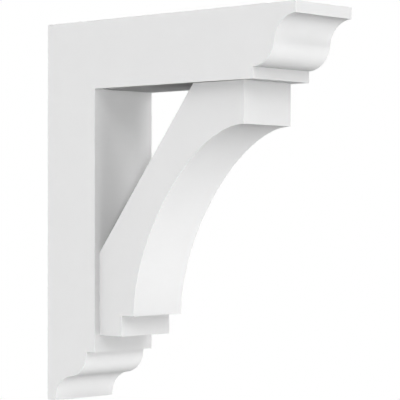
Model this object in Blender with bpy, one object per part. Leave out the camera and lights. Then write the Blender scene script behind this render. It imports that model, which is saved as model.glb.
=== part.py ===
"""A decorative bracket for an eave, canopy, shelf or mantel, in white cellular PVC.

A post lies against the wall and a beam reaches out from its top. They are one L-shaped frame, and both
of its free ends are cut to the same moulding. A narrower brace with a curved front joins them.

Units are metres. X runs out from the wall, Y across the bracket and Z up. The origin is the middle of
the frame's back, where the bracket is fixed.
"""

import math

import bmesh
import bpy
from mathutils import Vector
from mathutils.geometry import interpolate_bezier

INCH = 0.0254

# Whole bracket
PROJECTION = 24 * INCH
HEIGHT = 28 * INCH
FRAME_WIDTH = 6 * INCH
MEMBER_DEPTH = 5 * INCH  # of the post and of the beam, seen from the side

# Moulding at the free ends of the post and the beam
FILLET = 0.8125 * INCH  # the flat band above and below the S curve
MOULDING_RUN = 3.75 * INCH  # how far the moulding reaches in from the free end

# Brace, seen from the side: reaches are from the wall, drops are from the frame's top
BRACE_INSET = 0.5 * INCH  # on each side of the frame
NOSE_REACH = 19 * INCH  # front of the block under the beam
NOSE_DROP = 8 * INCH  # underside of that block, where the curve starts
CURVE_REACH = 8.5 * INCH  # lower end of the curve
CURVE_DROP = 21.5 * INCH
BLOCK_REACH = 7.3 * INCH  # front of the small block at the brace's foot
BRACE_DROP = 23 * INCH
BACK_REACH = 14.3 * INCH  # where the sloping back meets the beam
CURVE_EASE = 0.44  # the curve's handles, as a share of its reach and of its drop

CONTACT_GAP = 0.0003  # between pieces that touch

WHITE = (0.86, 0.86, 0.86)
SATIN = 0.45

MOULDING_SEGMENTS = 20  # in each of the two arcs of the S curve
CURVE_SEGMENTS = 48
CREASE = math.radians(30)  # faces that turn more than this meet in a sharp edge

WALL = 0.0
TOP = HEIGHT / 2
BOTTOM = -HEIGHT / 2
POST_FRONT = MEMBER_DEPTH
BEAM_UNDERSIDE = TOP - MEMBER_DEPTH


def clear_scene():
    for old in list(bpy.data.objects):
        bpy.data.objects.remove(old, do_unlink=True)


def white_plastic(name):
    """White PVC with a satin face."""
    material = bpy.data.materials.new(name)
    material.use_nodes = True
    shader = material.node_tree.nodes["Principled BSDF"]
    shader.inputs["Base Color"].default_value = (*WHITE, 1.0)
    shader.inputs["Roughness"].default_value = SATIN
    shader.inputs["Metallic"].default_value = 0.0
    return material


def arc(centre, radius, start, end, segments):
    """Points of a circular arc, with its angles in radians and both ends included."""
    turn = (end - start) / segments
    angles = [start + turn * i for i in range(segments + 1)]
    return [(centre[0] + radius * math.cos(a), centre[1] + radius * math.sin(a)) for a in angles]


def end_moulding():
    """The moulding as (run in from the free end, depth in from the outer face), outer face first.

    Between the two fillets is an S of two equal arcs, a hollow and then a round. Each arc leaves its
    fillet square to the fillet's face, and together they cover the run and what depth is left.
    """
    depth_left = MEMBER_DEPTH - 2 * FILLET
    swing = 2 * math.atan2(depth_left, MOULDING_RUN)
    radius = MOULDING_RUN / (2 * math.sin(swing))
    hollow_centre = (0.0, FILLET + radius)
    round_centre = (MOULDING_RUN, MEMBER_DEPTH - FILLET - radius)
    right = math.pi / 2
    hollow = arc(hollow_centre, radius, -right, -right + swing, MOULDING_SEGMENTS)
    rounded = arc(round_centre, radius, right + swing, right, MOULDING_SEGMENTS)
    return [(0.0, 0.0), *hollow, *rounded[1:], (MOULDING_RUN, MEMBER_DEPTH)]


def frame_outline():
    """The post and the beam as one outline in X and Z, clockwise from the top at the wall."""
    moulding = end_moulding()
    beam_end = [(PROJECTION - run, TOP - depth) for run, depth in moulding]
    post_end = [(WALL + depth, BOTTOM + run) for run, depth in reversed(moulding)]
    return [(WALL, TOP), *beam_end, (POST_FRONT, BEAM_UNDERSIDE), *post_end]


def brace_curve():
    """The hollow front of the brace, from level under its nose to upright at its foot."""
    nose = Vector((NOSE_REACH, TOP - NOSE_DROP, 0.0))
    foot = Vector((CURVE_REACH, TOP - CURVE_DROP, 0.0))
    nose_handle = nose - Vector(((nose.x - foot.x) * CURVE_EASE, 0.0, 0.0))
    foot_handle = foot + Vector((0.0, (nose.y - foot.y) * CURVE_EASE, 0.0))
    points = interpolate_bezier(nose, nose_handle, foot_handle, foot, CURVE_SEGMENTS + 1)
    return [(p.x, p.y) for p in points]


def brace_outline():
    """The brace's outline in X and Z. Its back slopes as the curve's chord does."""
    back = POST_FRONT + CONTACT_GAP
    top = BEAM_UNDERSIDE - CONTACT_GAP
    slope = (CURVE_DROP - NOSE_DROP) / (NOSE_REACH - CURVE_REACH)
    back_foot = BEAM_UNDERSIDE - (BACK_REACH - back) * slope
    foot = TOP - BRACE_DROP
    return [
        (BACK_REACH, top),
        (NOSE_REACH, top),
        *brace_curve(),
        (BLOCK_REACH, TOP - CURVE_DROP),
        (BLOCK_REACH, foot),
        (back, foot),
        (back, back_foot),
    ]


def extrude_across(name, outline, width, material):
    """A solid of that side outline, as wide as stated and centred on the middle plane."""
    mesh = bpy.data.meshes.new(name)
    build = bmesh.new()
    corners = [build.verts.new((x, -width / 2, z)) for x, z in outline]
    side = build.faces.new(corners)
    swept = bmesh.ops.extrude_face_region(build, geom=[side])
    far_corners = [e for e in swept["geom"] if isinstance(e, bmesh.types.BMVert)]
    bmesh.ops.translate(build, vec=(0.0, width, 0.0), verts=far_corners)
    bmesh.ops.recalc_face_normals(build, faces=build.faces)
    build.to_mesh(mesh)
    build.free()
    mesh.materials.append(material)
    mesh.shade_smooth()
    mesh.set_sharp_from_angle(angle=CREASE)
    piece = bpy.data.objects.new(name, mesh)
    bpy.context.scene.collection.objects.link(piece)
    return piece


def make_frame():
    return extrude_across("frame", frame_outline(), FRAME_WIDTH, white_plastic("frame_white"))


def make_brace():
    width = FRAME_WIDTH - 2 * BRACE_INSET
    return extrude_across("brace", brace_outline(), width, white_plastic("brace_white"))


def main():
    clear_scene()
    make_frame()
    make_brace()


main()
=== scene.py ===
"""Looks of the decorative bracket: smooth white cellular PVC in plain, soft studio light.

Units are metres. X runs out from the wall, Y across the bracket and Z up, as in the frame.
"""

import math

import bmesh
import bpy
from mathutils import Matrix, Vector
from mathutils.geometry import interpolate_bezier


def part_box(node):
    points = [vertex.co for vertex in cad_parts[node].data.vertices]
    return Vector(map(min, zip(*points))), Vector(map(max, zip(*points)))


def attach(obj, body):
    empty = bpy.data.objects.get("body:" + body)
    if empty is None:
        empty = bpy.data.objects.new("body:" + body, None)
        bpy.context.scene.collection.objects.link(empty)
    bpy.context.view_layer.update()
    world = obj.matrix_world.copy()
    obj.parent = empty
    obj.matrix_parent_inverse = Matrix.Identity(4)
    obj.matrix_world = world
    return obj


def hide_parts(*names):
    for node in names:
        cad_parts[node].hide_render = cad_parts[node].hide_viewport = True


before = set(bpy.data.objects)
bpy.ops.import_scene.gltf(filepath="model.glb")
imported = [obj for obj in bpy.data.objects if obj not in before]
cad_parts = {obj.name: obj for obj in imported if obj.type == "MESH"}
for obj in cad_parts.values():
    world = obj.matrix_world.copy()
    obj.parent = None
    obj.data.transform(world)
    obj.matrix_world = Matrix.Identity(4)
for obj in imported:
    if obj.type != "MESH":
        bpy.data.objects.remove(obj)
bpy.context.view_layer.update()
frame_low, frame_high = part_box("frame")
brace_low, brace_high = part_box("brace")

INCH = 0.0254
CONTACT_GAP = 0.0003  # what the solids leave between the frame and the brace

# Faces that the boxes give
WALL = frame_low.x
BEAM_END = frame_high.x
TOP = frame_high.z
BOTTOM = frame_low.z
POST_FRONT = brace_low.x - CONTACT_GAP
BEAM_UNDERSIDE = brace_high.z + CONTACT_GAP
FRAME_WIDTH = frame_high.y - frame_low.y
BRACE_WIDTH = brace_high.y - brace_low.y
NOSE_FRONT = brace_high.x
BRACE_FOOT = brace_low.z

# Moulding at the free ends of the post and the beam
FILLET = 0.8125 * INCH  # the flat band above and below the S curve
MOULDING_RUN = 3.75 * INCH  # how far the moulding reaches in from the free end

# Brace, seen from the side: reaches are from the wall, drops are from the top
NOSE_DROP = 8 * INCH
CURVE_REACH = 8.5 * INCH
CURVE_DROP = 21.5 * INCH
BLOCK_REACH = 7.3 * INCH
BACK_REACH = 14.3 * INCH
CURVE_EASE = 0.44  # the curve's handles, as a share of its reach and of its drop

# Finish of the edges
EASE = 0.0004  # radius of the sanded edges
EASE_SEGMENTS = 3
SEAT = 0.0005  # how far the brace is let into the frame, so that its joints close
CREASE = math.radians(30)  # faces that turn more than this meet in an edge

MOULDING_SEGMENTS = 48  # in each of the two arcs of the S curve
CURVE_SEGMENTS = 160

# White cellular PVC, with sizes as (x, y, z) and depths in metres
WHITE_LOW = (0.852, 0.852, 0.852, 1.0)
WHITE_HIGH = (0.868, 0.868, 0.868, 1.0)
BOARD_ROUGHNESS = 0.42
CUT_ROUGHNESS = 0.5
ROUGHNESS_SPREAD = 0.04
CLOUD_SIZE = (0.06, 0.06, 0.06)  # the board's slow waves, and clouds in its white
WAVE_DEPTH = 0.0003
PEEL_SIZE = (0.0011, 0.0011, 0.0011)  # orange peel of the board's skin
PEEL_DEPTH = 0.0001
MARK_SIZE = (0.0016, 0.08, 0.0016)  # the cutter's marks, which run across the bracket
MARK_DEPTH = 0.00014
PORE_SPACING = 0.0006
PORE_RIM = (0.1, 0.3)  # where a pit's side starts and ends, as shares of the spacing
PORE_DEPTH = 0.00004
CLOUD_DETAIL = 3.0
PEEL_DETAIL = 2.0
MARK_DETAIL = 1.0
PEEL_SPREAD = (0.3, 0.7)  # nearly all of the peel's noise lies between these
BOARD_TO_CUT = (0.95, 0.55)  # a normal's share along Y, from the board's own faces to the cut ones
UNIT = (0.0, 1.0)

# Camera
CAMERA_PLACE = Vector((2.5727, -2.4645, -0.0045))
CAMERA_TURN = 0.7401
CAMERA_TILT = 0.0079  # above the level, in radians
LENS = 165.83  # millimetres, on a 36 mm sensor
SENSOR = 36.0

# Studio lights, all far off: degrees round from +X towards +Y, degrees up, degrees across, strength
LIGHTS = {
    "front": (-52, -5, 20, 2.72),
    "upper_front": (-55, 40, 25, 0.46),
    "overhead": (-130, 70, 40, 1.45),
    "high_front": (15, 35, 45, 0.6),
    "low_front": (0, -60, 20, 0.71),
    "low_side": (70, -30, 60, 1.05),
    "low_back": (180, -35, 20, 1.1),
    "high_back": (115, 25, 30, 1.6),
    "side_back": (120, -15, 35, 0.17),
}
GLARE_FREE = ("high_back",)  # it lights only hidden faces, and its glare would hide the top
FILL = 0.1  # faint light from all round
DISPLAY_GAMMA = 1 / 1.5  # the photo is of higher contrast than direct light alone gives

FLOOR_DROP = 0.6  # below the bracket's foot
FLOOR_SIZE = 60.0


def arc(centre, radius, start, end, segments):
    """Points of a circular arc, with its angles in radians and both ends included."""
    turn = (end - start) / segments
    angles = [start + turn * i for i in range(segments + 1)]
    return [(centre[0] + radius * math.cos(a), centre[1] + radius * math.sin(a)) for a in angles]


def end_moulding(depth):
    """The moulding as (run in from the free end, depth in from the outer face).

    It starts at the outer face. Its S curve is two equal arcs, a hollow and then a round.
    """
    swing = 2 * math.atan2(depth - 2 * FILLET, MOULDING_RUN)
    radius = MOULDING_RUN / (2 * math.sin(swing))
    hollow_centre = (0.0, FILLET + radius)
    round_centre = (MOULDING_RUN, depth - FILLET - radius)
    right = math.pi / 2
    hollow = arc(hollow_centre, radius, -right, -right + swing, MOULDING_SEGMENTS)
    rounded = arc(round_centre, radius, right + swing, right, MOULDING_SEGMENTS)
    return [(0.0, 0.0), *hollow, *rounded[1:], (MOULDING_RUN, depth)]


def frame_outline():
    """The post and the beam as one outline in X and Z, clockwise from the top at the wall."""
    beam_end = [(BEAM_END - run, TOP - depth) for run, depth in end_moulding(TOP - BEAM_UNDERSIDE)]
    post_end = [(WALL + depth, BOTTOM + run) for run, depth in end_moulding(POST_FRONT - WALL)]
    return [(WALL, TOP), *beam_end, (POST_FRONT, BEAM_UNDERSIDE), *reversed(post_end)]


def brace_curve():
    """The hollow front of the brace, from level under its nose to upright at its foot."""
    nose = Vector((NOSE_FRONT, TOP - NOSE_DROP, 0.0))
    foot = Vector((WALL + CURVE_REACH, TOP - CURVE_DROP, 0.0))
    nose_handle = nose - Vector(((nose.x - foot.x) * CURVE_EASE, 0.0, 0.0))
    foot_handle = foot + Vector((0.0, (nose.y - foot.y) * CURVE_EASE, 0.0))
    points = interpolate_bezier(nose, nose_handle, foot_handle, foot, CURVE_SEGMENTS + 1)
    return [(p.x, p.y) for p in points]


def brace_outline():
    """The brace's outline in X and Z. Its back slopes as the curve's chord does."""
    back = POST_FRONT - SEAT
    top = BEAM_UNDERSIDE + SEAT
    slope = (CURVE_DROP - NOSE_DROP) / (NOSE_FRONT - WALL - CURVE_REACH)
    back_top = WALL + BACK_REACH
    back_foot = BEAM_UNDERSIDE - (back_top - back) * slope
    return [
        (back_top + SEAT / slope, top),
        (NOSE_FRONT, top),
        *brace_curve(),
        (WALL + BLOCK_REACH, TOP - CURVE_DROP),
        (WALL + BLOCK_REACH, BRACE_FOOT),
        (back, BRACE_FOOT),
        (back, back_foot),
    ]


def across(name, outline, width):
    """A solid of that side outline, centred on the middle plane, with every edge eased."""
    mesh = bpy.data.meshes.new(name)
    build = bmesh.new()
    side = build.faces.new([build.verts.new((x, -width / 2, z)) for x, z in outline])
    swept = bmesh.ops.extrude_face_region(build, geom=[side])
    far_corners = [e for e in swept["geom"] if isinstance(e, bmesh.types.BMVert)]
    bmesh.ops.translate(build, vec=(0.0, width, 0.0), verts=far_corners)
    bmesh.ops.recalc_face_normals(build, faces=build.faces)
    build.to_mesh(mesh)
    build.free()
    mesh.shade_smooth()
    piece = bpy.data.objects.new(name, mesh)
    bpy.context.scene.collection.objects.link(piece)
    eased = piece.modifiers.new("eased edges", "BEVEL")
    eased.width = EASE
    eased.segments = EASE_SEGMENTS
    eased.limit_method = "ANGLE"
    eased.angle_limit = CREASE
    eased.harden_normals = True
    return piece


def link(material, source, target):
    material.node_tree.links.new(source, target)


def add_node(material, kind, operation=None):
    node = material.node_tree.nodes.new(kind)
    if operation:
        node.operation = operation
    return node


def combine(material, operation, first, second):
    """Two sockets put through a Math node."""
    node = add_node(material, "ShaderNodeMath", operation)
    link(material, first, node.inputs[0])
    link(material, second, node.inputs[1])
    return node.outputs["Value"]


def remap(material, value, from_range, to_range):
    node = add_node(material, "ShaderNodeMapRange")
    link(material, value, node.inputs["Value"])
    node.inputs["From Min"].default_value, node.inputs["From Max"].default_value = from_range
    node.inputs["To Min"].default_value, node.inputs["To Max"].default_value = to_range
    return node.outputs["Result"]


def grain(material, place, size, detail):
    """Noise whose lumps are about that size, as (x, y, z) in metres."""
    stretch = add_node(material, "ShaderNodeVectorMath", "DIVIDE")
    link(material, place, stretch.inputs[0])
    stretch.inputs[1].default_value = size
    noise = add_node(material, "ShaderNodeTexNoise")
    link(material, stretch.outputs["Vector"], noise.inputs["Vector"])
    noise.inputs["Scale"].default_value = 1.0
    noise.inputs["Detail"].default_value = detail
    return noise.outputs["Fac"]


def pores(material, place):
    """Pits where the cutter opened the foam's cells: 1 on the face and less in a pit."""
    cells = add_node(material, "ShaderNodeTexVoronoi")
    link(material, place, cells.inputs["Vector"])
    cells.inputs["Scale"].default_value = 1 / PORE_SPACING
    return remap(material, cells.outputs["Distance"], PORE_RIM, UNIT)


def cut_share(material, face_normal):
    """0 on the board's own faces, which look along Y, and 1 on the faces that were cut."""
    parts = add_node(material, "ShaderNodeSeparateXYZ")
    link(material, face_normal, parts.inputs["Vector"])
    steep = add_node(material, "ShaderNodeMath", "ABSOLUTE")
    link(material, parts.outputs["Y"], steep.inputs[0])
    return remap(material, steep.outputs["Value"], BOARD_TO_CUT, UNIT)


def raise_surface(material, height, depth, below=None):
    """Bump of that depth in metres, laid over the bump below it."""
    bump = add_node(material, "ShaderNodeBump")
    bump.inputs["Distance"].default_value = depth
    link(material, height, bump.inputs["Height"])
    if below:
        link(material, below, bump.inputs["Normal"])
    return bump.outputs["Normal"]


def white_pvc(name):
    """White cellular PVC: satin board faces, and duller cut faces with the cutter's marks."""
    material = bpy.data.materials.new(name)
    material.use_nodes = True
    shader = material.node_tree.nodes["Principled BSDF"]
    coordinates = add_node(material, "ShaderNodeTexCoord")
    place = coordinates.outputs["Object"]
    cut = cut_share(material, coordinates.outputs["Normal"])

    cloud = grain(material, place, CLOUD_SIZE, CLOUD_DETAIL)
    peel = grain(material, place, PEEL_SIZE, PEEL_DETAIL)
    marks = grain(material, place, MARK_SIZE, MARK_DETAIL)
    pits = pores(material, place)

    tint = add_node(material, "ShaderNodeMix")
    tint.data_type = "RGBA"
    link(material, cloud, tint.inputs["Factor"])
    tint.inputs["A"].default_value = WHITE_LOW
    tint.inputs["B"].default_value = WHITE_HIGH
    link(material, tint.outputs["Result"], shader.inputs["Base Color"])

    mean_roughness = remap(material, cut, UNIT, (BOARD_ROUGHNESS, CUT_ROUGHNESS))
    spread = remap(material, peel, PEEL_SPREAD, (-ROUGHNESS_SPREAD, ROUGHNESS_SPREAD))
    roughness = combine(material, "ADD", mean_roughness, spread)
    link(material, roughness, shader.inputs["Roughness"])

    normal = raise_surface(material, cloud, WAVE_DEPTH)
    normal = raise_surface(material, peel, PEEL_DEPTH, normal)
    cut_marks = combine(material, "MULTIPLY", marks, cut)
    normal = raise_surface(material, cut_marks, MARK_DEPTH, normal)
    cut_pits = combine(material, "MULTIPLY", pits, cut)
    normal = raise_surface(material, cut_pits, PORE_DEPTH, normal)
    link(material, normal, shader.inputs["Normal"])
    return material


def dress(node, outline, width):
    """The finished piece that takes the place of that node of the frame."""
    piece = across(node + "_finished", outline, width)
    piece.data.materials.append(white_pvc(node + "_pvc"))
    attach(piece, "root")
    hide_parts(node)


def make_floor():
    """A white floor that only the camera sees."""
    bpy.ops.mesh.primitive_plane_add(size=FLOOR_SIZE, location=(0.0, 0.0, BOTTOM - FLOOR_DROP))
    floor = bpy.context.active_object
    floor.name = "floor"
    material = bpy.data.materials.new("floor_white")
    material.use_nodes = True
    nodes = material.node_tree.nodes
    nodes.clear()
    glow = nodes.new("ShaderNodeEmission")
    output = nodes.new("ShaderNodeOutputMaterial")
    link(material, glow.outputs["Emission"], output.inputs["Surface"])
    floor.data.materials.append(material)
    floor.visible_diffuse = False
    floor.visible_glossy = False
    floor.visible_shadow = False


def make_world():
    """White where the camera sees it, and a faint fill on the bracket."""
    world = bpy.data.worlds.new("studio")
    world.use_nodes = True
    nodes = world.node_tree.nodes
    nodes["Background"].inputs["Color"].default_value = (1.0, 1.0, 1.0, 1.0)
    path = nodes.new("ShaderNodeLightPath")
    strength = nodes.new("ShaderNodeMath")
    strength.operation = "MAXIMUM"
    strength.inputs[1].default_value = FILL
    world.node_tree.links.new(path.outputs["Is Camera Ray"], strength.inputs[0])
    world.node_tree.links.new(strength.outputs["Value"], nodes["Background"].inputs["Strength"])
    bpy.context.scene.world = world


def make_lights():
    """One soft light from each direction of LIGHTS, turned so that it shines at the bracket."""
    for name, (azimuth, elevation, across_angle, strength) in LIGHTS.items():
        data = bpy.data.lights.new(name, "SUN")
        data.angle = math.radians(across_angle)
        data.energy = strength
        light = bpy.data.objects.new(name, data)
        light.rotation_euler = (math.radians(90 - elevation), 0.0, math.radians(azimuth + 90))
        light.visible_glossy = name not in GLARE_FREE
        bpy.context.scene.collection.objects.link(light)


def make_camera():
    data = bpy.data.cameras.new("camera")
    data.sensor_width = SENSOR
    data.lens = LENS
    camera = bpy.data.objects.new("camera", data)
    camera.location = CAMERA_PLACE
    camera.rotation_euler = (math.pi / 2 + CAMERA_TILT, 0.0, CAMERA_TURN)
    bpy.context.scene.collection.objects.link(camera)
    bpy.context.scene.camera = camera


dress("frame", frame_outline(), FRAME_WIDTH)
dress("brace", brace_outline(), BRACE_WIDTH)
make_floor()
make_world()
make_lights()
make_camera()
bpy.context.scene.view_settings.view_transform = "Standard"
bpy.context.scene.view_settings.gamma = DISPLAY_GAMMA
# The photo's creases are as dark as direct light leaves them
bpy.context.scene.cycles.diffuse_bounces = 0
